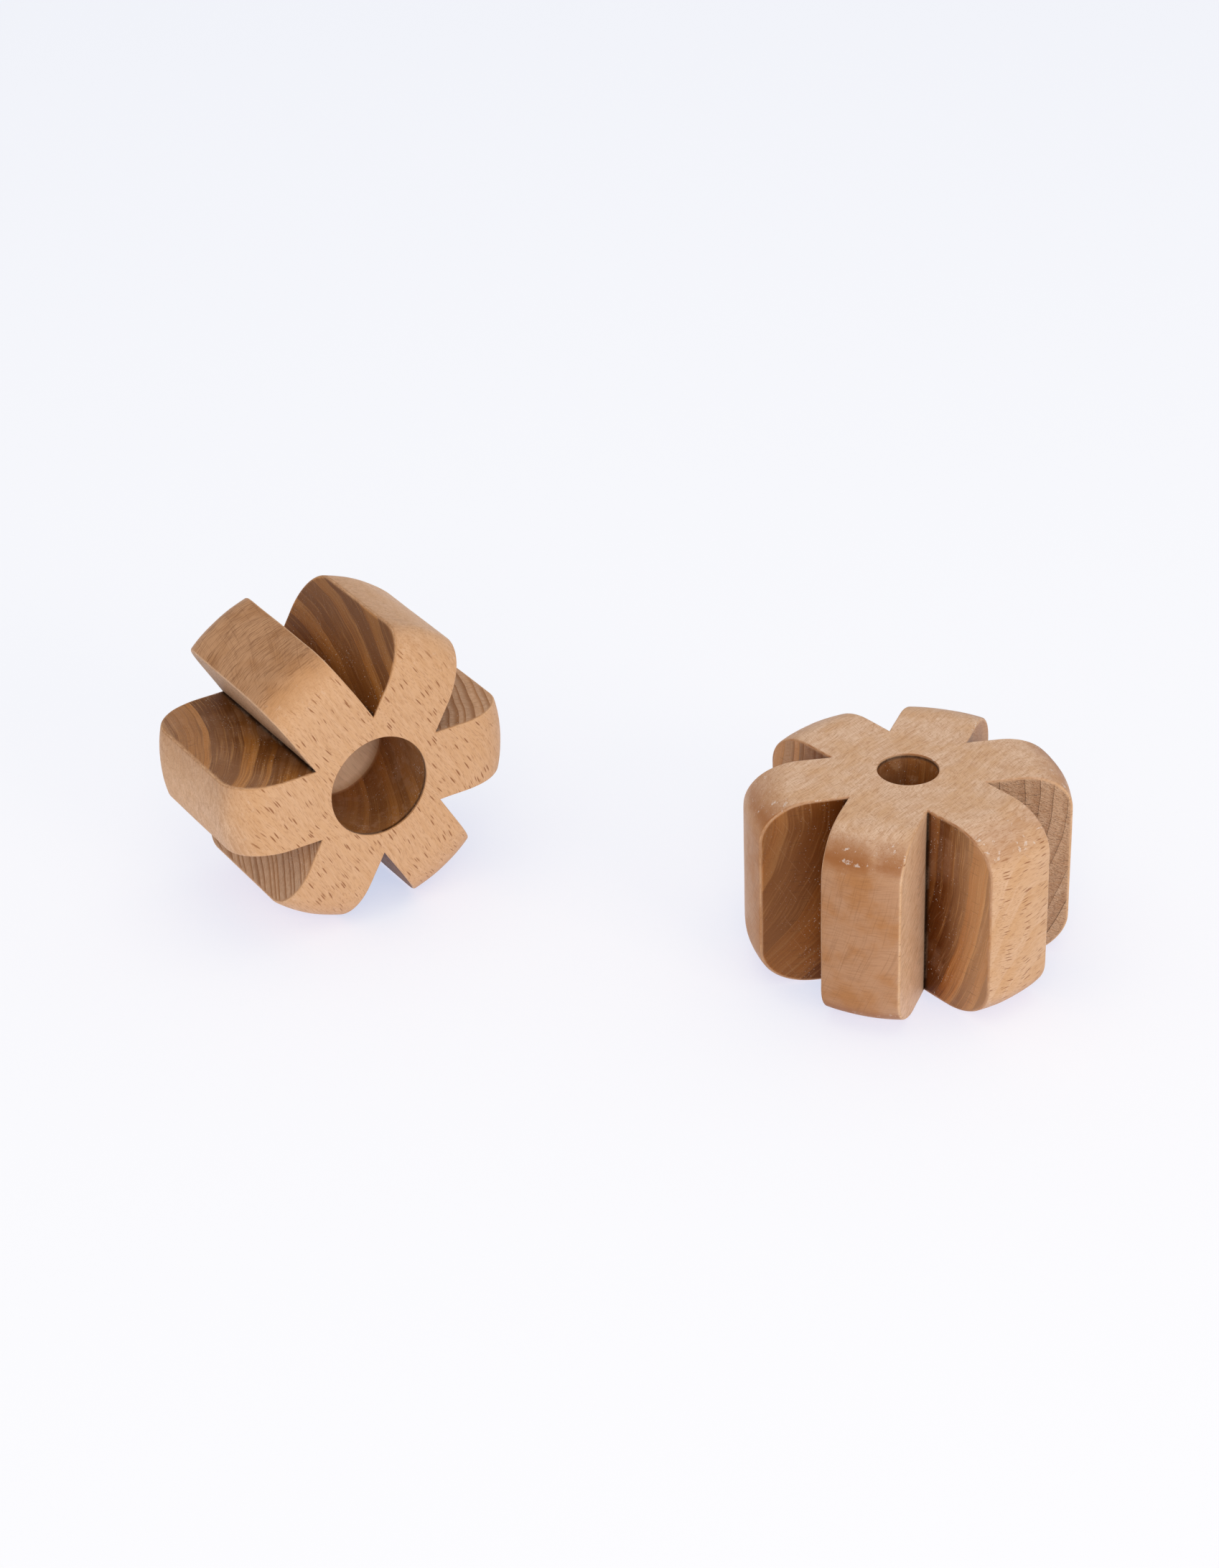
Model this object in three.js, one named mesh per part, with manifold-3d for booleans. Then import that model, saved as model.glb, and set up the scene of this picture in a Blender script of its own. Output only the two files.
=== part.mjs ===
// Two loose, identical star-shaped beech blocks. Each is turned to a round disc with softly
// rounded rims, sawn into six parallel-sided arms by V notches, and bored from both ends:
// wide at one end, narrow at the other. One block stands on its wide-bored end; the other
// lies on its side, wide bore forwards. Units are millimetres and +Z is up.

import * as THREE from 'three';
import { mergeVertices } from 'three/addons/utils/BufferGeometryUtils.js';
import Module from 'manifold-3d';

const wasm = await Module();
wasm.setup();

// Driving dimensions of one block
const BLOCK_DIAMETER = 65;
const BLOCK_HEIGHT = 42;
const ARM_COUNT = 6;
const ARM_WIDTH = 16;
const RIM_ROUND_RADIAL = 10.5; // how far the rim's rounding reaches in from the side
const RIM_ROUND_AXIAL = 8.5; // how far it reaches along the block's axis
const WIDE_BORE_DIAMETER = 22;
const WIDE_BORE_DEPTH = 20;
const NARROW_BORE_DIAMETER = 12.2;
const NARROW_BORE_DEPTH = 15;

// Where the upright block's axis stands, measured from the middle of the lying block
const UPRIGHT_OFFSET_X = 80;
const UPRIGHT_OFFSET_Y = -92.6;
const UPRIGHT_TURN = THREE.MathUtils.degToRad(36.5);

// Fineness of the faceted solids
const ROUND_SEGMENTS = 96;
const BORE_SEGMENTS = 48;
const RIM_STEPS = 6;

// Extra length of a cutting tool, so that no tool face lies in a face of the block
const TOOL_OVERRUN = 2;

const BLOCK_RADIUS = BLOCK_DIAMETER / 2;
const ARM_SPACING = (2 * Math.PI) / ARM_COUNT;

function makeBeech() {
  return new THREE.MeshStandardMaterial({ color: 0xc79566, roughness: 0.55, metalness: 0 });
}

// A closed three.js geometry as a solid that can be cut and joined
function toSolid(geometry) {
  geometry.deleteAttribute('normal');
  geometry.deleteAttribute('uv');
  const merged = mergeVertices(geometry);
  return new wasm.Manifold(
    new wasm.Mesh({
      numProp: 3,
      vertProperties: new Float32Array(merged.attributes.position.array),
      triVerts: new Uint32Array(merged.index.array),
    }),
  );
}

function toGeometry(solid) {
  const { vertProperties, triVerts } = solid.getMesh();
  const geometry = new THREE.BufferGeometry();
  geometry.setAttribute('position', new THREE.BufferAttribute(vertProperties, 3));
  geometry.setIndex(new THREE.BufferAttribute(triVerts, 1));
  geometry.computeVertexNormals();
  return geometry;
}

// Half outline of the turned disc from the axis at the bottom to the axis at the top. Each rim
// is a quarter ellipse that flows from the flat end into the straight side.
function turnedProfile() {
  const points = [new THREE.Vector2(0, 0)];
  for (const atTop of [false, true]) {
    for (let step = 0; step <= RIM_STEPS; step++) {
      const share = step / RIM_STEPS;
      const angle = ((atTop ? 1 - share : share) * Math.PI) / 2;
      const inset = RIM_ROUND_RADIAL * (1 - Math.sin(angle));
      const depth = RIM_ROUND_AXIAL * (1 - Math.cos(angle));
      points.push(new THREE.Vector2(BLOCK_RADIUS - inset, atTop ? BLOCK_HEIGHT - depth : depth));
    }
  }
  points.push(new THREE.Vector2(0, BLOCK_HEIGHT));
  return points;
}

function turnedDisc() {
  const disc = new THREE.LatheGeometry(turnedProfile(), ROUND_SEGMENTS);
  return toSolid(disc.rotateX(Math.PI / 2));
}

// Star outline with straight arms. The walls of neighbouring arms meet at the bottom of each
// notch, at a distance from the axis of half an arm's width over the sine of half the spacing.
function starOutline() {
  const armLength = BLOCK_RADIUS + TOOL_OVERRUN;
  const notchRadius = ARM_WIDTH / 2 / Math.sin(ARM_SPACING / 2);
  const star = new THREE.Shape();
  for (let arm = 0; arm < ARM_COUNT; arm++) {
    const along = arm * ARM_SPACING;
    const notch = along + ARM_SPACING / 2;
    const outward = new THREE.Vector2(Math.cos(along), Math.sin(along));
    const sideways = new THREE.Vector2(-outward.y, outward.x).multiplyScalar(ARM_WIDTH / 2);
    const tip = outward.clone().multiplyScalar(armLength);
    const right = tip.clone().sub(sideways);
    const left = tip.clone().add(sideways);
    if (arm === 0) star.moveTo(right.x, right.y);
    else star.lineTo(right.x, right.y);
    star.lineTo(left.x, left.y);
    star.lineTo(notchRadius * Math.cos(notch), notchRadius * Math.sin(notch));
  }
  star.closePath();
  return star;
}

function starPrism() {
  const depth = BLOCK_HEIGHT + 2 * TOOL_OVERRUN;
  const prism = new THREE.ExtrudeGeometry(starOutline(), { depth, bevelEnabled: false });
  return toSolid(prism.translate(0, 0, -TOOL_OVERRUN));
}

// A flat-bottomed drill that enters the block from below (z = 0) or from above
function drill(diameter, depth, fromAbove) {
  const radius = diameter / 2;
  const length = depth + TOOL_OVERRUN;
  const tool = new THREE.CylinderGeometry(radius, radius, length, BORE_SEGMENTS);
  tool.rotateX(Math.PI / 2);
  const middle = (depth - TOOL_OVERRUN) / 2;
  return toSolid(tool.translate(0, 0, fromAbove ? BLOCK_HEIGHT - middle : middle));
}

// One whole block on its wide-bored end, with an arm along +X and its axis on the Z axis
function starBlockGeometry() {
  const block = turnedDisc()
    .intersect(starPrism())
    .subtract(drill(WIDE_BORE_DIAMETER, WIDE_BORE_DEPTH, false))
    .subtract(drill(NARROW_BORE_DIAMETER, NARROW_BORE_DEPTH, true));
  return toGeometry(block);
}

function makeUprightBlock() {
  const block = new THREE.Mesh(starBlockGeometry(), makeBeech());
  block.name = 'upright_block';
  block.position.set(UPRIGHT_OFFSET_X, UPRIGHT_OFFSET_Y, 0);
  block.rotation.z = UPRIGHT_TURN;
  return block;
}

// The lying block rests on the facing edges of its two lowest arms, with its axis level and
// its wide bore towards -Y
function makeLyingBlock() {
  const edgeAngle = ARM_SPACING / 2 - Math.asin(ARM_WIDTH / BLOCK_DIAMETER);
  const axisHeight = BLOCK_RADIUS * Math.cos(edgeAngle);
  const block = new THREE.Mesh(starBlockGeometry(), makeBeech());
  block.name = 'lying_block';
  block.position.set(0, -BLOCK_HEIGHT / 2, axisHeight);
  block.rotation.x = -Math.PI / 2;
  return block;
}

// Moves the pair so that the origin is on the table, under the middle of both blocks together
function centreOnOrigin(pair) {
  const middle = new THREE.Box3().setFromObject(pair, true).getCenter(new THREE.Vector3());
  pair.position.set(-middle.x, -middle.y, 0);
}

const blockPair = new THREE.Group();
blockPair.add(makeUprightBlock(), makeLyingBlock());
centreOnOrigin(blockPair);

export default blockPair;
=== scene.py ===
"""Looks of two loose star-shaped beech blocks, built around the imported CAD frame.

Each block is one closed mesh: a turned disc with rounded rims, cut into six arms by V notches and
bored from both ends, with every outer edge slightly eased. The wood is a solid procedural beech,
so grain, rays and growth rings run through a block and meet at its edges. Lengths are in metres,
except in the wood's own patterns, which are in millimetres.
"""

import math

import bpy
import numpy as np
from mathutils import Matrix, Vector


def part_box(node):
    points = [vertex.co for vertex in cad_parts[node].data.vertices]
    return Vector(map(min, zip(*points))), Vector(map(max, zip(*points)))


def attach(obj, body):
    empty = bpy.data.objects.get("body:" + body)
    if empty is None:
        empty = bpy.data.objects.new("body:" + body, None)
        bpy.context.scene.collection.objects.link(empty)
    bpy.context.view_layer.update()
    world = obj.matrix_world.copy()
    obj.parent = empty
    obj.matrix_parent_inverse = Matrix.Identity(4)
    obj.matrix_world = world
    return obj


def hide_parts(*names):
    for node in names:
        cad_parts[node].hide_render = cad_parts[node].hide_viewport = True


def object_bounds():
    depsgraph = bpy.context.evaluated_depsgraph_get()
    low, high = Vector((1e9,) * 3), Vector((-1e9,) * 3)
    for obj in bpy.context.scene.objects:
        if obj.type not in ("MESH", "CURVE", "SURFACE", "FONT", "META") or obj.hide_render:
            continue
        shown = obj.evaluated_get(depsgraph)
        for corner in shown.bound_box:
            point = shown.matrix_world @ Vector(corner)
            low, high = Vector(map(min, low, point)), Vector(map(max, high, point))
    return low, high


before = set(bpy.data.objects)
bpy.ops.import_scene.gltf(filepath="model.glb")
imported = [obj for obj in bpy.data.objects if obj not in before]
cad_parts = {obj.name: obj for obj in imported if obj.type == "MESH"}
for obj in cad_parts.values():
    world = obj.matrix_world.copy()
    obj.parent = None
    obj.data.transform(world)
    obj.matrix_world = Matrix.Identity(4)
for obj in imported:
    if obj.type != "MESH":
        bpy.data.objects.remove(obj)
cad_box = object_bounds()

MM = 0.001

# Driving dimensions of a block, as in the CAD part
ARM_COUNT = 6
ARM_WIDTH = 16 * MM
RIM_ROUND_RADIAL = 10.5 * MM
RIM_ROUND_AXIAL = 8.5 * MM
WIDE_BORE_RADIUS = 11 * MM
WIDE_BORE_DEPTH = 20 * MM
NARROW_BORE_RADIUS = 6.1 * MM
NARROW_BORE_DEPTH = 15 * MM
UPRIGHT_TURN = math.radians(36.5)
ARM_SPACING = 2 * math.pi / ARM_COUNT

# Overall size, read from the frame: the lying block shows its full width and height
LYING_LOW, LYING_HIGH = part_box("lying_block")
BLOCK_RADIUS = (LYING_HIGH.x - LYING_LOW.x) / 2
BLOCK_HEIGHT = LYING_HIGH.y - LYING_LOW.y

# Surface finish that only the fine mesh has: eased edges, and waves left by turning, each with its
# length and the direction it runs in
EDGE_EASE = 0.45 * MM
BORE_EASE = 0.25 * MM
TURNING_WAVE = 0.05 * MM
WAVES = ((19 * MM, 0.4), (11 * MM, 1.9), (7 * MM, 3.1))

# Fineness of the mesh: steps start small at an edge and grow away from it
FIRST_STEP = 0.1 * MM
LARGEST_STEP = 1.0 * MM
STEP_GROWTH = 1.3
SLOPE_STEP = 0.01 * MM
SETTLE_ROUNDS = 5
LEAST_STEEPNESS = 0.25
SHARP_ANGLE = math.radians(50)

UP = Vector((0, 0, 1))


# ---------------------------------------------------------------- shape of a block

def rounded_meeting(one, other, radius):
    """Distance to the part that two shapes share, with their common edge rounded."""
    beyond = np.hypot(np.maximum(one + radius, 0), np.maximum(other + radius, 0))
    return np.minimum(np.maximum(one, other), -radius) + beyond


def disc_distance(points):
    """Distance to the turned disc, whose rims are quarter ellipses."""
    across = np.hypot(points[:, 0], points[:, 1]) - (BLOCK_RADIUS - RIM_ROUND_RADIAL)
    middle = BLOCK_HEIGHT / 2
    along = np.abs(points[:, 2] - middle) - (middle - RIM_ROUND_AXIAL)
    across = np.maximum(across, 1e-9)
    along = np.maximum(along, 1e-9)
    reach = np.hypot(across / RIM_ROUND_RADIAL, along / RIM_ROUND_AXIAL)
    slope = np.hypot(across / RIM_ROUND_RADIAL**2, along / RIM_ROUND_AXIAL**2)
    return reach * (reach - 1) / slope


def star_distance(points):
    """Distance to the walls of the three bars that cross to make six arms."""
    offsets = []
    for bar in range(ARM_COUNT // 2):
        angle = bar * ARM_SPACING
        offsets.append(np.abs(points[:, 1] * math.cos(angle) - points[:, 0] * math.sin(angle)))
    return np.min(offsets, axis=0) - ARM_WIDTH / 2


def bore_distance(points, radius, depth, mouth):
    """Distance to a flat-bottomed bore that enters the end at height mouth."""
    across = np.hypot(points[:, 0], points[:, 1]) - radius
    return np.maximum(across, np.abs(points[:, 2] - mouth) - depth)


def turning_wave(points):
    """The slight unevenness that turning and sanding by hand leave."""
    waves = np.zeros(len(points))
    for pitch, turn in WAVES:
        direction = np.array([math.cos(turn), math.sin(turn), math.sin(2 * turn)])
        waves += np.sin(points @ direction * (2 * math.pi / pitch) + turn)
    return waves * TURNING_WAVE / len(WAVES)


def block_distance(points):
    solid = rounded_meeting(disc_distance(points), star_distance(points), EDGE_EASE)
    solid = solid + turning_wave(points)
    wide = bore_distance(points, WIDE_BORE_RADIUS, WIDE_BORE_DEPTH, 0)
    narrow = bore_distance(points, NARROW_BORE_RADIUS, NARROW_BORE_DEPTH, BLOCK_HEIGHT)
    solid = rounded_meeting(solid, -wide, BORE_EASE)
    return rounded_meeting(solid, -narrow, BORE_EASE)


def slope_of(distance, points):
    """Gradient of a distance function by central differences."""
    slopes = []
    for axis in np.eye(3) * SLOPE_STEP:
        slopes.append((distance(points + axis) - distance(points - axis)) / (2 * SLOPE_STEP))
    return np.stack(slopes, axis=1)


def settle(points):
    """Moves points that lie near the surface onto it."""
    for _ in range(SETTLE_ROUNDS):
        slope = slope_of(block_distance, points)
        steepness = np.maximum((slope**2).sum(axis=1), LEAST_STEEPNESS)
        points = points - slope * (block_distance(points) / steepness)[:, None]
    return points


def graded_shares(length):
    """Shares of a length whose steps start small at an edge and grow away from it."""
    marks = [0.0]
    step = FIRST_STEP
    while marks[-1] < length:
        marks.append(marks[-1] + step)
        step = min(step * STEP_GROWTH, LARGEST_STEP)
    return np.array(marks) / marks[-1]


def graded_both_ends(length):
    half = graded_shares(length / 2) / 2
    return np.concatenate([half, 1 - half[-2::-1]])


def arm_outline(radius):
    """One arm's outline at a height where the disc has that radius: from the notch before it,
    out along one wall, across the tip and back along the other wall."""
    half_width = ARM_WIDTH / 2
    notch = half_width / math.tan(ARM_SPACING / 2)
    corner = math.sqrt(radius**2 - half_width**2)
    from_corner = graded_shares(BLOCK_RADIUS - notch)
    tip_shares = graded_both_ends(ARM_WIDTH)[1:-1]
    tip_angles = (2 * tip_shares - 1) * math.asin(half_width / radius)
    wall = corner + (notch - corner) * from_corner
    outward = np.stack([wall[::-1], np.full(len(wall), -half_width)], axis=1)
    tip = radius * np.stack([np.cos(tip_angles), np.sin(tip_angles)], axis=1)
    inward = np.stack([wall[:-1], np.full(len(wall) - 1, half_width)], axis=1)
    return np.concatenate([outward, tip, inward])


def star_loop(radius, height):
    """A closed loop round all the arms at one height."""
    arm = arm_outline(radius)
    loop = []
    for index in range(ARM_COUNT):
        angle = index * ARM_SPACING
        turn = np.array([[math.cos(angle), math.sin(angle)], [-math.sin(angle), math.cos(angle)]])
        loop.append(arm @ turn)
    flat = np.concatenate(loop)
    return np.column_stack([flat, np.full(len(flat), height)])


def side_loops():
    """Loops up the outside, close together round the two rims."""
    quarter = graded_shares(RIM_ROUND_RADIAL + RIM_ROUND_AXIAL) * math.pi / 2
    rim = []
    for angle in quarter:
        radius = BLOCK_RADIUS - RIM_ROUND_RADIAL * (1 - math.sin(angle))
        rim.append((radius, RIM_ROUND_AXIAL * (1 - math.cos(angle))))
    straight = np.arange(RIM_ROUND_AXIAL, BLOCK_HEIGHT - RIM_ROUND_AXIAL, LARGEST_STEP)[1:]
    rows = rim + [(BLOCK_RADIUS, height) for height in straight]
    rows += [(radius, BLOCK_HEIGHT - depth) for radius, depth in reversed(rim)]
    return [star_loop(radius, height) for radius, height in rows]


def end_loops(edge, bore_radius, bore_depth, inward):
    """Loops from an end's outer edge over its flat face, down its bore and across the bore's
    floor. inward is +1 if the bore goes up from this end and -1 if it goes down."""
    mouth_height = edge[0, 2]
    lengths = np.hypot(edge[:, 0], edge[:, 1])
    bore_edge = edge.copy()
    bore_edge[:, :2] *= (bore_radius / lengths)[:, None]
    loops = []
    for share in graded_both_ends(ARM_WIDTH)[1:]:
        loops.append(edge + (bore_edge - edge) * share)
    for share in graded_shares(bore_depth)[1:]:
        deeper = bore_edge.copy()
        deeper[:, 2] = mouth_height + inward * bore_depth * share
        loops.append(deeper)
    floor_count = math.ceil(bore_radius / (2 * LARGEST_STEP))
    for ring in range(1, floor_count):
        nearer = loops[-1].copy()
        nearer[:, :2] = bore_edge[:, :2] * (1 - ring / floor_count)
        loops.append(nearer)
    return loops


def block_faces(loop_count, loop_length):
    """Quads between neighbouring loops, with a fan of triangles onto the two last points."""
    first_pole = loop_count * loop_length
    last_loop = (loop_count - 1) * loop_length
    faces = []
    for index in range(loop_length):
        following = (index + 1) % loop_length
        faces.append((first_pole, following, index))
        faces.append((first_pole + 1, last_loop + index, last_loop + following))
        for start in range(0, last_loop, loop_length):
            above = start + loop_length
            faces.append((start + index, start + following, above + following, above + index))
    return faces


def smooth_band(values, low, high):
    """0 below low, 1 above high and a smooth change between them."""
    share = np.clip((values - low) / (high - low), 0, 1)
    return share * share * (3 - 2 * share)


def wall_values(points, values):
    """The value of the notch wall that each point is nearest to. Walls are counted round the block
    from its own X, two to an arm."""
    angle = np.arctan2(points[:, 1], points[:, 0]) % (2 * math.pi)
    wall = (angle / (math.pi / ARM_COUNT)).astype(int) % (2 * ARM_COUNT)
    return np.array(values)[wall]


SURFACE_FACTS = (
    "end_grain", "ray_face", "notch_wall", "bore_wall", "flat_end", "sawn", "rim", "oil", "dry",
    "edge_gap", "from_axis")
BORE_OIL = 0.8
# Share of a notch wall that takes the pale unoiled colour, which is painted light against the shade in
# the notches
RAW_WALL_SHARE_WITH_PAINTED_LIGHT = 0.6


def surface_facts(points, wood, oil, dry_wall):
    """What the wood shader needs to know about the surface at each point, in SURFACE_FACTS order."""
    normal = slope_of(block_distance, points)
    normal /= np.maximum(np.linalg.norm(normal, axis=1), 1e-9)[:, None]
    facing_axis = np.abs(normal[:, 2])
    star = star_distance(points)
    disc = disc_distance(points)
    in_bore = smooth_band(-np.maximum(star, disc), 0.6 * MM, 1.2 * MM)
    bore_wall = in_bore * (1 - smooth_band(facing_axis, 0.5, 0.9))
    flat_end = smooth_band(facing_axis, 0.9, 0.99)
    rim = smooth_band(facing_axis, 0.3, 0.65) * (1 - flat_end)
    notch_wall = (1 - in_bore) * smooth_band(-disc, 0.2 * MM, 0.7 * MM) * (1 - flat_end)
    dryness = [float(index == dry_wall) for index in range(2 * ARM_COUNT)]
    return (
        np.abs(normal @ np.array(wood["fibre"])),
        np.abs(normal @ np.array(wood["ray"])),
        notch_wall,
        bore_wall,
        flat_end,
        # pale unoiled colour on the notch walls and the bore floors, painted light where shade falls
        RAW_WALL_SHARE_WITH_PAINTED_LIGHT * notch_wall + in_bore - bore_wall,
        rim,
        notch_wall * wall_values(points, oil) + bore_wall * BORE_OIL,
        notch_wall * wall_values(points, dryness),
        np.where(in_bore > 0.5, 1.0, np.maximum(-star, -disc) / MM),
        np.hypot(points[:, 0], points[:, 1]) / MM,
    )


def store_on_points(mesh, name, kind, field, values):
    attribute = mesh.attributes.new(name, kind, "POINT")
    attribute.data.foreach_set(field, values.astype(np.float32).ravel())


def make_block(name, placing, wood, oil, dry_wall):
    """One whole block as a closed mesh. It is made in its own frame, with its wide-bored end at
    height 0 and an arm along X, and then moved to its place."""
    sides = side_loops()
    lower = end_loops(sides[0], WIDE_BORE_RADIUS, WIDE_BORE_DEPTH, 1)
    upper = end_loops(sides[-1], NARROW_BORE_RADIUS, NARROW_BORE_DEPTH, -1)
    loops = lower[::-1] + sides + upper
    poles = np.array([[0, 0, WIDE_BORE_DEPTH], [0, 0, BLOCK_HEIGHT - NARROW_BORE_DEPTH]])
    points = settle(np.concatenate(loops + [poles]))
    mesh = bpy.data.meshes.new(name)
    mesh.from_pydata(points.tolist(), [], block_faces(len(loops), len(loops[0])))
    mesh.shade_smooth()
    mesh.set_sharp_from_angle(angle=SHARP_ANGLE)
    for fact, values in zip(SURFACE_FACTS, surface_facts(points, wood, oil, dry_wall)):
        store_on_points(mesh, fact, "FLOAT", "value", values)
    store_on_points(mesh, "place_mm", "FLOAT_VECTOR", "vector", points / MM)
    mesh.transform(placing)
    block = bpy.data.objects.new(name, mesh)
    bpy.context.scene.collection.objects.link(block)
    return block


def box_middle(node):
    low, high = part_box(node)
    return (low + high) / 2


# ---------------------------------------------------------------- material nodes

class Sheet:
    """Adds nodes to one material, so that a recipe reads as a list of steps. Each step gives back
    the socket that holds its result."""

    def __init__(self, name):
        self.material = bpy.data.materials.new(name)
        self.material.use_nodes = True
        self.tree = self.material.node_tree
        self.tree.nodes.clear()

    def add(self, kind, inputs, output=0, **settings):
        node = self.tree.nodes.new(kind)
        for name, value in settings.items():
            setattr(node, name, value)
        for key, value in inputs.items():
            if isinstance(value, bpy.types.NodeSocket):
                self.tree.links.new(value, node.inputs[key])
            else:
                node.inputs[key].default_value = value
        return node.outputs[output] if node.outputs else None

    def math(self, operation, first, second=0.0):
        return self.add("ShaderNodeMath", {0: first, 1: second}, operation=operation)

    def times(self, first, second):
        return self.math("MULTIPLY", first, second)

    def plus(self, first, second):
        return self.math("ADD", first, second)

    def without(self, value):
        """1 less the value."""
        return self.math("SUBTRACT", 1.0, value)

    def scaled(self, vector, factor):
        return self.add("ShaderNodeVectorMath", {0: vector, "Scale": factor}, operation="SCALE")

    def vector(self, operation, first, second):
        return self.add("ShaderNodeVectorMath", {0: first, 1: second}, operation=operation)

    def dot(self, first, direction):
        inputs = {0: first, 1: tuple(direction)}
        return self.add("ShaderNodeVectorMath", inputs, output="Value", operation="DOT_PRODUCT")

    def joined(self, x, y, z):
        return self.add("ShaderNodeCombineXYZ", {0: x, 1: y, 2: z})

    def band(self, value, low, high, start=0.0, end=1.0):
        """A smooth change from start, where value is low, to end, where it is high."""
        inputs = {"Value": value, "From Min": low, "From Max": high, "To Min": start, "To Max": end}
        return self.add("ShaderNodeMapRange", inputs, interpolation_type="SMOOTHSTEP")

    def noise(self, place, scale=1.0, detail=2.0, roughness=0.5):
        inputs = {"Vector": place, "Scale": scale, "Detail": detail, "Roughness": roughness}
        return self.add("ShaderNodeTexNoise", inputs)

    def cells(self, place, output="Distance", dimensions="3D"):
        inputs = {"Vector": place, "Scale": 1.0, "Randomness": 1.0}
        return self.add("ShaderNodeTexVoronoi", inputs, output=output, voronoi_dimensions=dimensions)

    def chance(self, place, dimensions="3D"):
        """A random number from 0 to 1 for each cell."""
        return self.add("ShaderNodeSeparateColor", {0: self.cells(place, "Color", dimensions)})

    def blend(self, share, first, second):
        inputs = {0: share, 6: first, 7: second}
        return self.add("ShaderNodeMix", inputs, output=2, data_type="RGBA")

    def fact(self, name):
        """A value that the mesh stores on its points."""
        return self.add("ShaderNodeAttribute", {}, output="Fac", attribute_name=name)


def colour(red, green, blue):
    """A display colour, 0 to 255, as the linear colour that shaders use."""
    linear = []
    for part in (red, green, blue):
        share = part / 255
        linear.append(share / 12.92 if share <= 0.04045 else ((share + 0.055) / 1.055) ** 2.4)
    return (*linear, 1.0)


# ---------------------------------------------------------------- beech

# In a band, the first two numbers are where a pattern between 0 and 1 begins and ends to show, and
# the last two are how strongly it shows at each of them.

NOTCH_BOTTOM = 16.0  # millimetres from the axis to where two notch walls meet
AROUND_SCALE = 10.0
MARK_SEAM = math.radians(30)
SPECULAR_LEVEL = 0.14
BUMP_STRENGTH = 0.8


def grain_places(s, wood):
    """Where a point lies in the wood: along the fibres, across them and along the rays, with the
    slow wander of real grain."""
    s.moved = s.vector("ADD", s.place, wood["shift"])
    inputs = {"Vector": s.moved, "Scale": 0.05, "Detail": 2.0}
    wander = s.add("ShaderNodeTexNoise", inputs, output="Color")
    s.wander = s.scaled(s.vector("SUBTRACT", wander, (0.5, 0.5, 0.5)), 5.0)
    bent = s.vector("ADD", s.moved, s.wander)
    s.along = s.dot(bent, wood["fibre"])
    s.thin = s.dot(bent, wood["tangent"])
    s.deep = s.dot(bent, wood["ray"])


def growth_rings(s, wood):
    """Arcs round the pith. Each year has its own tone and ends in a sharp line."""
    sideways = Vector((-wood["fibre"][1], wood["fibre"][0], 0))
    bent = s.vector("ADD", s.place, s.scaled(s.wander, 0.5))
    across = s.math("SUBTRACT", s.dot(bent, sideways), wood["pith"][0])
    up = s.math("SUBTRACT", s.dot(bent, UP), wood["pith"][1])
    from_pith = s.joined(across, up, 0.0)
    radius = s.add("ShaderNodeVectorMath", {0: from_pith}, output="Value", operation="LENGTH")
    uneven = s.noise(s.joined(s.times(radius, 0.3), s.times(s.along, 0.02), 0.0), detail=1.0)
    year = s.plus(s.times(radius, 1 / wood["year_width"]), s.times(uneven, 2.5))
    s.season = s.math("FRACT", year)
    number = s.math("FLOOR", year)
    s.year_tone = s.add("ShaderNodeTexWhiteNoise", {"W": number}, output="Value", noise_dimensions="1D")
    lines_place = s.joined(s.times(radius, 3.3), s.times(s.height, 0.08), s.times(s.along, 0.03))
    s.ring_lines = s.noise(lines_place, detail=2.0, roughness=0.6)


def fibre_texture(s):
    """Long soft streaks, the fine fibres inside them and the pores."""
    coarse = s.joined(s.times(s.along, 0.2), s.times(s.thin, 1.5), s.times(s.deep, 1.1))
    fine = s.joined(s.times(s.along, 0.5), s.times(s.thin, 5.5), s.times(s.deep, 4.0))
    s.streaks = s.noise(coarse, detail=4.0, roughness=0.65)
    s.fibres = s.noise(fine, detail=2.0, roughness=0.6)
    s.pores = s.noise(s.moved, 4.5, 3.0, 0.7)
    s.tone = s.noise(s.moved, 0.12, 3.0, 0.55)


def ray_flecks(s, wood):
    """Rays are thin ribbons, which show end-on as short dark spindles."""
    length, width = wood["fleck_cell"]
    place = s.joined(s.times(s.along, 1 / length), s.times(s.thin, 1 / width), 0.0)
    chance = s.chance(place, "2D")
    reach = s.band(chance, 0.1, 1.0, 0.04, 0.22)
    gap = s.math("SUBTRACT", s.cells(place, dimensions="2D"), reach)
    depth = s.band(chance, 0.0, 1.0, 0.35, 0.85)
    spindles = s.times(s.band(gap, -0.1, 0.03, 1.0, 0.0), depth)
    s.flecks = s.times(spindles, s.band(s.ray_face, 0.6, 0.92))


def sanding_marks(s, wood):
    """Fine lines round the turned sides, and straight ones over the flat ends. The seam where the
    angle jumps lies in a notch."""
    x = s.dot(s.place, (math.cos(MARK_SEAM), math.sin(MARK_SEAM), 0))
    y = s.dot(s.place, (-math.sin(MARK_SEAM), math.cos(MARK_SEAM), 0))
    s.around = s.times(s.math("ARCTAN2", y, x), AROUND_SCALE)
    wavy_height = s.plus(s.height, s.times(s.tone, 3.0))
    place = s.joined(s.around, s.times(wavy_height, 5.0), s.times(s.from_axis, 5.0))
    s.turned_marks = s.noise(place, detail=2.0, roughness=0.6)
    hatch = wood["hatch"]
    lengthwise = s.times(s.dot(s.place, hatch), 0.35)
    across = s.times(s.dot(s.place, (-hatch[1], hatch[0], 0)), 6.0)
    s.end_marks = s.noise(s.joined(lengthwise, across, 0.0), detail=2.0, roughness=0.6)


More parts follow.
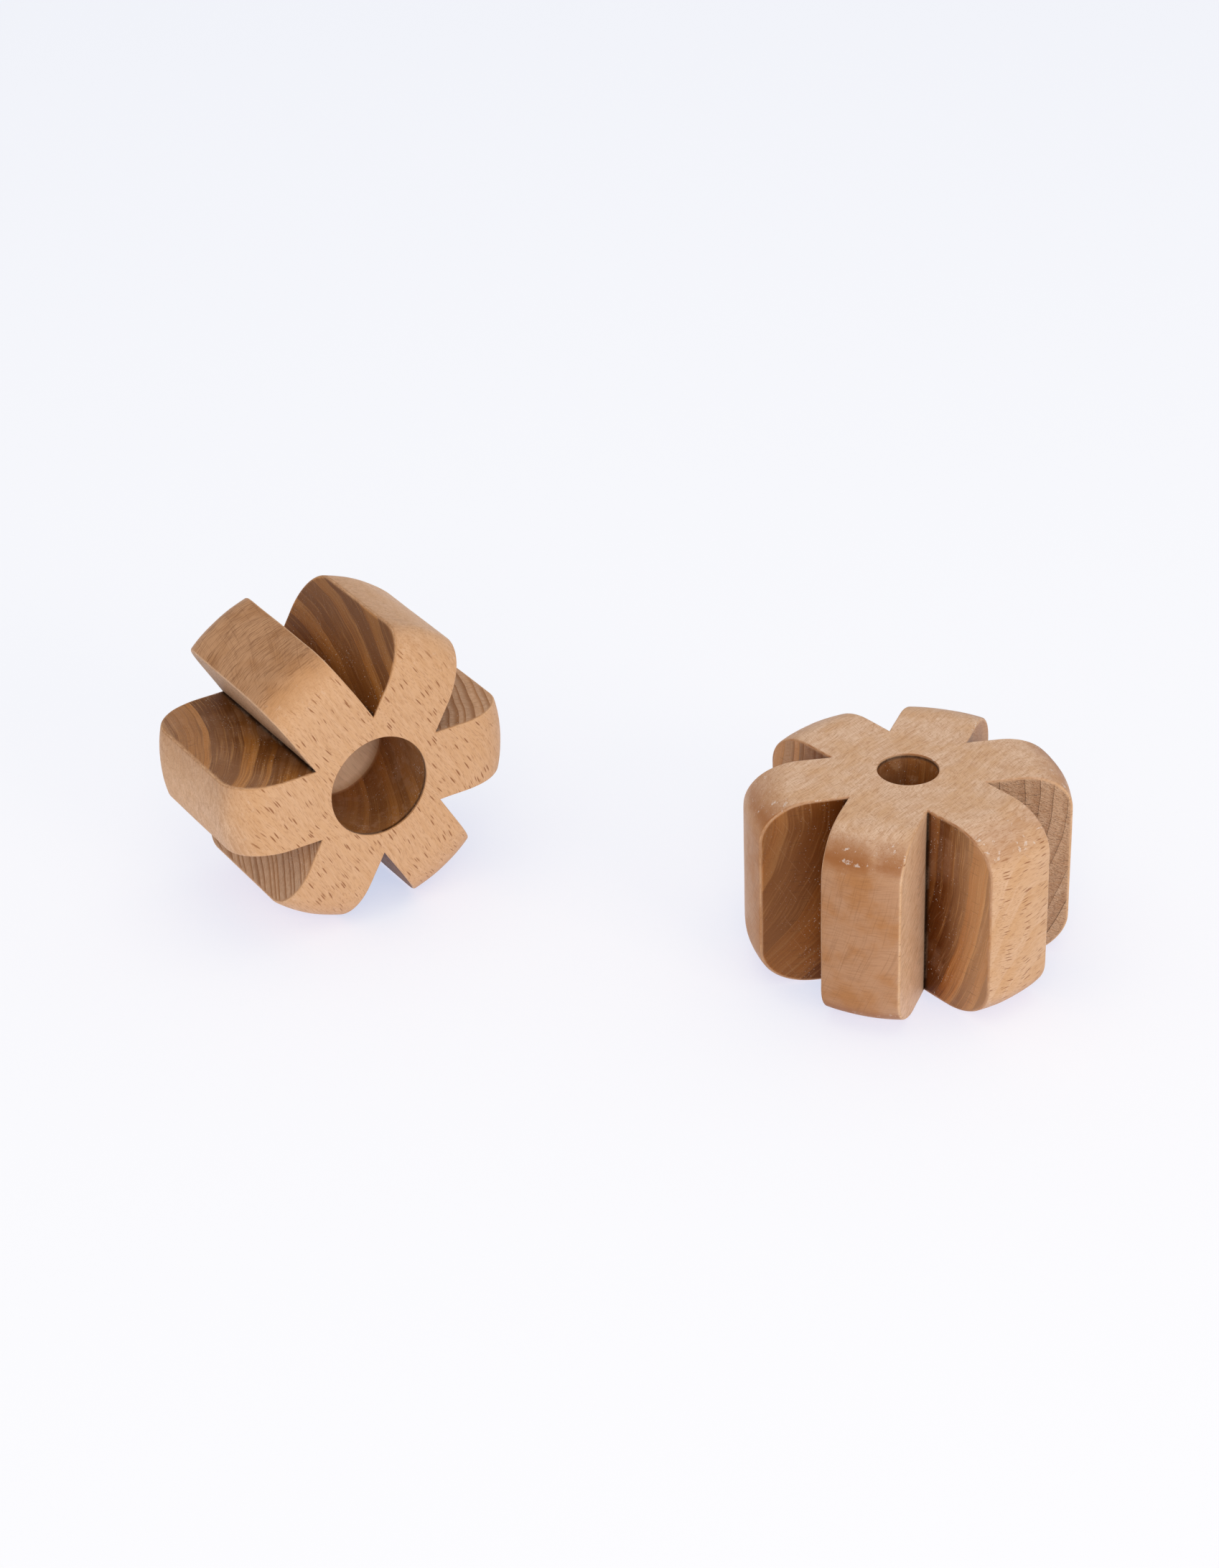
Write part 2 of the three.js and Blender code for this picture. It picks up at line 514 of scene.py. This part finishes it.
def wall_marks(s):
    """Saw marks, hairline cracks and light scratches on the walls of the notches."""
    number = s.math("FLOOR", s.times(s.around, ARM_COUNT / math.pi / AROUND_SCALE))
    other_wall = s.times(number, 7.7)
    wavy_height = s.plus(s.height, s.times(s.pores, 0.3))
    outward = s.plus(s.times(s.from_axis, 0.11), other_wall)
    crack_place = s.joined(outward, s.times(wavy_height, 1.6), 0.0)
    crack_gap = s.cells(crack_place, dimensions="2D")
    crack_depth = s.band(s.chance(crack_place, "2D"), 0.2, 0.9)
    s.cracks = s.times(s.band(crack_gap, 0.08, 0.15, 1.0, 0.0), crack_depth)
    rising = s.plus(s.height, s.times(s.from_axis, 0.6))
    falling = s.math("SUBTRACT", s.times(s.height, 0.6), s.from_axis)
    scratch_place = s.joined(s.plus(s.times(rising, 0.04), other_wall), s.times(falling, 0.9), 0.0)
    s.scratches = s.band(s.cells(scratch_place, dimensions="2D"), 0.05, 0.12, 1.0, 0.0)
    saw_place = s.joined(s.times(falling, 0.4), s.times(rising, 4.0), other_wall)
    s.saw_marks = s.noise(saw_place, detail=2.0, roughness=0.6)
    wrinkle_place = s.joined(s.times(falling, 1.6), s.times(rising, 4.0), other_wall)
    s.wrinkles = s.noise(wrinkle_place, detail=3.0, roughness=0.7)


def skin_colour(s, shades):
    """The turned and sanded surfaces: warm streaks on long grain, browner on end grain."""
    body = s.blend(s.band(s.streaks, 0.34, 0.66), shades["face_dark"], shades["face_light"])
    body = s.blend(s.band(s.tone, 0.42, 0.62, 0.0, 0.5), body, shades["face_warm"])
    body = s.blend(s.band(s.ray_face, 0.5, 1.0, 0.0, 0.65), body, shades["face_warm"])
    body = s.blend(s.band(s.season, 0.2, 1.0, 0.0, 0.25), body, shades["face_light"])
    body = s.blend(s.band(s.fibres, 0.5, 0.68, 0.0, 0.55), body, shades["fibre"])
    body = s.blend(s.band(s.ring_lines, 0.58, 0.75, 0.0, 0.35), body, shades["face_light"])
    body = s.blend(s.flecks, body, shades["fleck"])
    hatch_share = s.times(s.times(s.flat_end, s.band(s.end_marks, 0.5, 0.66)), shades["end_hatch"])
    body = s.blend(hatch_share, body, shades["hatch"])
    marks = s.times(s.band(s.turned_marks, 0.46, 0.66), shades["turned_hatch"])
    turned_end = s.blend(s.band(s.tone, 0.4, 0.65), shades["turned_light"], shades["turned_warm"])
    turned_end = s.blend(s.band(s.ring_lines, 0.5, 0.75, 0.0, 0.3), turned_end, shades["turned_dark"])
    turned_end = s.blend(marks, turned_end, shades["turned_dark"])
    end_share = s.times(s.band(s.end_grain, 0.4, 0.95), s.without(s.flat_end))
    skin = s.blend(end_share, body, turned_end)
    patches = s.band(s.noise(s.place, 0.16, 3.0), 0.15, 0.5)
    patches = s.times(patches, s.band(s.end_grain, 0.2, 0.9, 0.3, 1.0))
    return s.blend(s.times(s.times(s.rim, patches), shades["rim_stain"]), skin, shades["stain"])


def wall_colour(s, shades):
    """End grain that has taken up oil: dark and amber years, some of them fading to pale, with pale
    patches of painted sheen on the bore walls and painted shade towards the bottom of each notch.
    """
    wall = s.blend(s.band(s.year_tone, 0.1, 0.8), shades["wall_dark"], shades["wall_amber"])
    pale_years = s.band(s.year_tone, 0.3, 1.0, 0.1, shades["pale_years"])
    wall = s.blend(s.times(s.band(s.season, 0.0, 1.0), pale_years), wall, shades["wall_light"])
    wall = s.blend(s.band(s.season, 0.9, 0.97, 0.0, 0.4), wall, shades["wall_dark"])
    wall = s.blend(s.band(s.ring_lines, 0.5, 0.72, 0.0, 0.5), wall, shades["wall_light"])
    wall = s.blend(s.band(s.ring_lines, 0.34, 0.48, 0.5, 0.0), wall, shades["wall_dark"])
    wall = s.blend(s.band(s.end_grain, 0.6, 0.95, 0.5, 0.95), shades["wall_mid"], wall)
    wall = s.blend(s.times(s.bore_wall, 0.45), wall, shades["wall_mid"])
    # Painted sheen: pale patches on the bore walls stand for the gloss of the varnish.
    bore_sheen = s.times(s.bore_wall, s.band(s.noise(s.place, 0.35, 4.0, 0.65), 0.5, 0.65, 0.0, 0.35))
    wall = s.blend(bore_sheen, wall, shades["wall_pale_and_sheen"])
    wall = s.blend(s.band(s.pores, 0.5, 0.75, 0.0, 0.5), wall, shades["wall_dark"])
    far_out = s.band(s.from_axis, NOTCH_BOTTOM + 3, NOTCH_BOTTOM + 13)
    outer = s.times(far_out, s.times(s.notch_wall, shades["pale_share"]))
    outer = s.times(outer, s.band(s.end_grain, 0.6, 0.95, 0.3, 1.0))
    wall = s.blend(outer, wall, shades["wall_pale_and_sheen"])
    # Above 1 a wall is darkened further, on the lying block as painted shade in the wedge under it.
    soaked_and_shaded = s.math("SUBTRACT", s.math("MAXIMUM", s.oil, 1.0), 1.0)
    wall = s.blend(soaked_and_shaded, wall, shades["wall_dark"])
    # Painted shade: the walls darken towards the bottom of the notch, where they close in.
    notch_bottom_shade = s.band(s.from_axis, NOTCH_BOTTOM, NOTCH_BOTTOM + 7, 0.85, 0.0)
    return s.blend(s.times(notch_bottom_shade, s.notch_wall), wall, shades["wall_dark"])


def dust_share(s):
    """Specks that the varnish caught near the bottom of the notches and in the bores."""
    place = s.scaled(s.place, 2.1)
    specks = s.times(s.band(s.cells(place), 0.12, 0.3, 1.0, 0.0), s.band(s.chance(place), 0.3, 1.0))
    area = s.times(s.notch_wall, s.band(s.from_axis, NOTCH_BOTTOM, NOTCH_BOTTOM + 11, 1.0, 0.15))
    area = s.plus(area, s.times(s.bore_wall, 0.8))
    patches = s.band(s.noise(s.place, 0.22, 3.0), 0.4, 0.58)
    return s.times(specks, s.times(area, patches))


def oiled_wood(s, shades):
    """Raw saw marks where a wall took little oil, oiled end grain elsewhere, and hairline cracks.
    The unoiled colour is painted light, paler than the wood, on the shaded notch walls and bore floors.
    """
    saw_share = s.times(s.notch_wall, s.band(s.saw_marks, 0.45, 0.65, 0.0, 0.5))
    # Painted light: the pale unoiled colour brightens the shaded notch walls and bore floors
    raw_share_with_painted_light = s.times(s.sawn, s.band(s.streaks, 0.35, 0.6, 1.0, 0.7))
    plain = s.blend(raw_share_with_painted_light, skin_colour(s, shades), shades["raw_with_painted_light"])
    ring_share = s.times(s.notch_wall, s.band(s.end_grain, 0.5, 0.9, 0.0, 0.85))
    ring_share = s.times(ring_share, s.band(s.season, 0.35, 0.95))
    plain = s.blend(ring_share, plain, shades["wall_mid"])
    plain = s.blend(saw_share, plain, shades["turned_warm"])
    s.uneven_oil = s.times(s.oil, s.band(s.tone, 0.3, 0.7, 1.15, 0.85))
    wood = s.blend(s.math("MINIMUM", s.uneven_oil, 1.0), plain, wall_colour(s, shades))
    s.crack_share = s.times(s.cracks, s.times(s.notch_wall, s.band(s.dry, 0.0, 1.0, 0.25, 0.65)))
    wood = s.blend(s.crack_share, wood, shades["crack_and_crease_shade"])
    return s.blend(s.times(s.scratches, s.times(s.notch_wall, 0.07)), wood, shades["worn_and_edge_highlight"])


def dry_lacquer(s, under, shades):
    """Wrinkles and open rings on the one wall of a block that has gone dry."""
    wrinkle_share = s.times(s.dry, s.band(s.wrinkles, 0.5, 0.62, 0.0, 0.45))
    over = s.blend(wrinkle_share, under, shades["turned_dark"])
    dry_rings = s.times(s.dry, s.band(s.end_grain, 0.3, 0.6))
    return s.blend(s.times(dry_rings, s.band(s.season, 0.93, 0.98, 0.0, 0.6)), over, shades["crack_and_crease_shade"])


def wear_dust_and_painted_light(s, under, shades):
    """Dust, pale edges that are partly rubbed and partly a painted highlight, painted sheen on the
    rims, and painted shade in a dark line along the bottom of a notch.
    """
    over = s.blend(s.times(dust_share(s), 0.85), under, shades["dust_and_sheen"])
    # Pale edges: partly rubbed wood, partly a painted highlight along the eased edges.
    edge_wear_and_highlight = s.band(s.noise(s.place, 0.6, 4.0), 0.42, 0.62, 0.1, 0.6)
    over = s.blend(s.times(s.band(s.edge_gap, 0.0, 0.35, 1.0, 0.0), edge_wear_and_highlight), over, shades["worn_and_edge_highlight"])
    # Painted sheen: pale streaks on the rims stand for glints on the varnish.
    rim_sheen = s.band(s.noise(s.place, 0.7, 4.0, 0.7), 0.6, 0.68, 0.0, shades["rim_shine"])
    over = s.blend(s.times(s.rim, rim_sheen), over, shades["dust_and_sheen"])
    # Painted shade: a dark stippled line along the bottom of each notch.
    notch_crease_shade = s.band(s.from_axis, NOTCH_BOTTOM + 0.1, NOTCH_BOTTOM + 1.1, 0.95, 0.0)
    notch_crease_shade = s.times(s.notch_wall, notch_crease_shade)
    return s.blend(s.times(notch_crease_shade, s.band(s.pores, 0.3, 0.5, 0.5, 1.0)), over, shades["crack_and_crease_shade"])


def fine_relief(s):
    """Height of fibres, flecks, marks, cracks, pores and wrinkles, in millimetres."""
    relief = s.times(s.fibres, 0.02)
    relief = s.plus(relief, s.times(s.flecks, -0.03))
    relief = s.plus(relief, s.times(s.turned_marks, s.times(s.without(s.flat_end), 0.03)))
    relief = s.plus(relief, s.times(s.end_marks, s.times(s.flat_end, 0.03)))
    relief = s.plus(relief, s.times(s.crack_share, -0.08))
    relief = s.plus(relief, s.times(s.pores, s.times(s.uneven_oil, 0.06)))
    return s.plus(relief, s.times(s.wrinkles, s.times(s.dry, 0.6)))


def beech(name, wood, shades):
    """Solid beech. wood holds its three directions in the block, its pith and a shift that keeps
    two blocks from matching; shades holds its colours."""
    s = Sheet(name)
    s.place = s.add("ShaderNodeAttribute", {}, output="Vector", attribute_name="place_mm")
    s.height = s.dot(s.place, UP)
    for fact in SURFACE_FACTS:
        setattr(s, fact, s.fact(fact))
    grain_places(s, wood)
    growth_rings(s, wood)
    fibre_texture(s)
    ray_flecks(s, wood)
    sanding_marks(s, wood)
    wall_marks(s)
    painted = oiled_wood(s, shades)
    painted = dry_lacquer(s, painted, shades)
    painted = wear_dust_and_painted_light(s, painted, shades)
    bump_inputs = {"Strength": BUMP_STRENGTH, "Distance": MM, "Height": fine_relief(s)}
    bump = s.add("ShaderNodeBump", bump_inputs)
    gloss = s.band(s.plus(s.pores, s.times(s.tone, 0.5)), 0.5, 1.1, 0.4, 0.58)
    surface = s.add("ShaderNodeBsdfPrincipled", {
        "Base Color": painted,
        "Roughness": gloss,
        "Normal": bump,
        "Specular IOR Level": SPECULAR_LEVEL,
    })
    s.add("ShaderNodeOutputMaterial", {"Surface": surface})
    return s.material


LYING_SHADES = {
    "face_light": colour(226, 184, 148),
    "face_dark": colour(202, 156, 118),
    "face_warm": colour(215, 167, 123),
    "fibre": colour(174, 124, 84),
    "fleck": colour(144, 90, 54),
    "hatch": colour(186, 138, 102),
    # Pale unoiled wood, made lighter than the wood as painted light for the shaded notch walls and bore
    # floors
    "raw_with_painted_light": colour(246, 208, 174),
    "turned_light": colour(192, 144, 104),
    "turned_warm": colour(178, 128, 86),
    "turned_dark": colour(118, 74, 44),
    "wall_amber": colour(184, 118, 46),
    "wall_mid": colour(144, 88, 34),
    "wall_dark": colour(100, 54, 10),
    "wall_light": colour(210, 156, 98),
    # Pale end grain towards the outer ends of the walls, also painted sheen on the bore walls
    "wall_pale_and_sheen": colour(182, 142, 114),
    "pale_share": 0.3,
    "pale_years": 0.45,
    # Dark brown of hairline cracks and dry rings, also used as painted shade along the bottom of each
    # notch
    "crack_and_crease_shade": colour(48, 28, 16),
    # Pale of rubbed edges and light scratches, also a painted highlight along the eased edges
    "worn_and_edge_highlight": colour(232, 192, 152),
    # Pale specks caught in the varnish in notches and bores, also painted sheen on the rims
    "dust_and_sheen": colour(240, 232, 224),
    "stain": colour(206, 150, 98),
    "end_hatch": 0.1,
    "turned_hatch": 0.6,
    "rim_stain": 0.5,
    "rim_shine": 0.1,
}

UPRIGHT_SHADES = dict(
    LYING_SHADES,
    face_light=colour(228, 192, 162),
    face_dark=colour(210, 168, 134),
    face_warm=colour(208, 159, 112),
    turned_light=colour(186, 138, 102),
    turned_warm=colour(178, 122, 76),
    wall_amber=colour(180, 106, 34),
    wall_mid=colour(138, 76, 18),
    wall_dark=colour(88, 40, 2),
    wall_pale_and_sheen=colour(206, 156, 112),
    pale_share=0.55,
    pale_years=0.65,
    stain=colour(154, 94, 48),
    end_hatch=0.5,
    turned_hatch=0.2,
    rim_stain=0.95,
    rim_shine=0.45,
)


def flat_direction(degrees):
    """A level direction at that angle from the block's own X."""
    return Vector((math.cos(math.radians(degrees)), math.sin(math.radians(degrees)), 0))


LYING_WOOD = {
    "fibre": flat_direction(60),
    "tangent": flat_direction(150),
    "ray": UP,
    "pith": (70, 43),
    "hatch": flat_direction(60),
    "year_width": 1.5,
    "fleck_cell": (5.4, 0.8),
    "shift": (12.0, 47.0, 5.0),
}

UPRIGHT_WOOD = {
    "fibre": flat_direction(-18.5),
    "tangent": UP,
    "ray": flat_direction(71.5),
    "pith": (65, 42),
    "hatch": flat_direction(43.5),
    "year_width": 2.2,
    "fleck_cell": (5.0, 0.6),
    "shift": (71.0, 8.0, 33.0),
}

# How much oil each notch wall has taken up, going round the block from its own X. Above 1 a wall is
# darkened further; the lying block's third wall is darkened so as painted shade, for the wedge beneath
# the block.
LYING_OIL_AND_SHADE = (0.5, 0.7, 1.5, 0.2, 0.25, 0.6, 0.95, 0.05, 0.1, 1.45, 0.6, 0.3)
LYING_DRY_WALL = 7
UPRIGHT_OIL = (0.6, 0.3, 0.7, 0.5, 1.3, 0.4, 0.05, 0.95, 0.6, 0.1, 0.5, 0.6)
UPRIGHT_DRY_WALL = 9


def make_lying_block():
    """On its side, wide bore towards -Y."""
    middle = box_middle("lying_block")
    place = Matrix.Translation((middle.x, LYING_LOW.y, middle.z))
    placing = place @ Matrix.Rotation(-math.pi / 2, 4, "X")
    block = make_block("lying_star_block", placing, LYING_WOOD, LYING_OIL_AND_SHADE, LYING_DRY_WALL)
    block.data.materials.append(beech("lying_beech_wood", LYING_WOOD, LYING_SHADES))
    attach(block, "lying_block")
    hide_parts("lying_block")


def make_upright_block():
    """Standing on its wide-bored end, turned about its axis."""
    middle = box_middle("upright_block")
    place = Matrix.Translation((middle.x, middle.y, 0))
    placing = place @ Matrix.Rotation(UPRIGHT_TURN, 4, "Z")
    block = make_block("upright_star_block", placing, UPRIGHT_WOOD, UPRIGHT_OIL, UPRIGHT_DRY_WALL)
    block.data.materials.append(beech("upright_beech_wood", UPRIGHT_WOOD, UPRIGHT_SHADES))
    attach(block, "upright_block")
    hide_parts("upright_block")


# ---------------------------------------------------------------- stage, light, camera

FLOOR_REACH = 12.0
FLOOR_MATT = (0.52, 0.43, 0.26, 1.0)
FLOOR_GLOW = (0.5, 0.58, 0.76, 1.0)  # the floor's own light, which keeps shadows faint and cool
WORLD_COLOUR = (0.98, 0.99, 1.0, 1.0)
WORLD_STRENGTH = 0.6

# Name, place, size, power and tint of each softbox
SOFTBOXES = (
    ("overhead", (-0.1, -0.1, 1.2), 1.2, 3.0, (1.0, 0.985, 0.96)),
    ("front", (0.2, -1.25, 0.4), 0.5, 3.4, (1.0, 0.98, 0.95)),
    ("front_left", (-0.6, -0.9, 0.8), 0.6, 2.5, (1.0, 0.98, 0.95)),
)

CAMERA_HEADING = math.radians(31.46)
CAMERA_DROP = math.radians(30.48)
CAMERA_ROLL = math.radians(-2.17)
CAMERA_DISTANCE = 0.656
CAMERA_LENS = 74.2
AIM_OFFSET = Vector((-1.2, 4.5, 0)) * MM


def make_floor():
    """A plain pale table top that reaches past the view. It also glows with a cool light of its own,
    which keeps the shadows on it faint and bluish.
    """
    s = Sheet("pale_floor")
    matt = s.add("ShaderNodeBsdfDiffuse", {"Color": FLOOR_MATT})
    glow = s.add("ShaderNodeEmission", {"Color": FLOOR_GLOW, "Strength": 1.0})
    surface = s.add("ShaderNodeAddShader", {0: matt, 1: glow})
    s.add("ShaderNodeOutputMaterial", {"Surface": surface})
    mesh = bpy.data.meshes.new("floor")
    sides = ((-1, -1), (1, -1), (1, 1), (-1, 1))
    corners = [(x * FLOOR_REACH, y * FLOOR_REACH, 0) for x, y in sides]
    mesh.from_pydata(corners, [], [(0, 1, 2, 3)])
    mesh.materials.append(s.material)
    floor = bpy.data.objects.new("floor", mesh)
    bpy.context.scene.collection.objects.link(floor)


def make_softbox(name, place, size, power, tint):
    light = bpy.data.lights.new(name, "AREA")
    light.size = size
    light.energy = power
    light.color = tint
    softbox = bpy.data.objects.new(name, light)
    softbox.location = place
    softbox.rotation_euler = (-Vector(place)).to_track_quat("-Z", "Y").to_euler()
    bpy.context.scene.collection.objects.link(softbox)


def make_world():
    world = bpy.data.worlds.new("studio")
    world.use_nodes = True
    background = world.node_tree.nodes["Background"]
    background.inputs["Color"].default_value = WORLD_COLOUR
    background.inputs["Strength"].default_value = WORLD_STRENGTH
    bpy.context.scene.world = world


def make_camera():
    """Looks down at the pair from the photo's angle, with the photo's slight roll."""
    low, high = cad_box
    aim = (low + high) / 2 + AIM_OFFSET
    flat = math.cos(CAMERA_DROP)
    level_x = math.sin(CAMERA_HEADING) * flat
    level_y = math.cos(CAMERA_HEADING) * flat
    forward = Vector((level_x, level_y, -math.sin(CAMERA_DROP)))
    level_right = Vector((math.cos(CAMERA_HEADING), -math.sin(CAMERA_HEADING), 0))
    level_up = level_right.cross(forward)
    right = level_right * math.cos(CAMERA_ROLL) + level_up * math.sin(CAMERA_ROLL)
    up = level_up * math.cos(CAMERA_ROLL) - level_right * math.sin(CAMERA_ROLL)
    data = bpy.data.cameras.new("camera")
    data.lens = CAMERA_LENS
    camera = bpy.data.objects.new("camera", data)
    turn = Matrix((right, up, -forward)).transposed().to_4x4()
    camera.matrix_world = Matrix.Translation(aim - forward * CAMERA_DISTANCE) @ turn
    bpy.context.scene.collection.objects.link(camera)
    bpy.context.scene.camera = camera


make_lying_block()
make_upright_block()
make_floor()
make_world()
for softbox in SOFTBOXES:
    make_softbox(*softbox)
make_camera()
bpy.context.scene.view_settings.view_transform = "Standard"
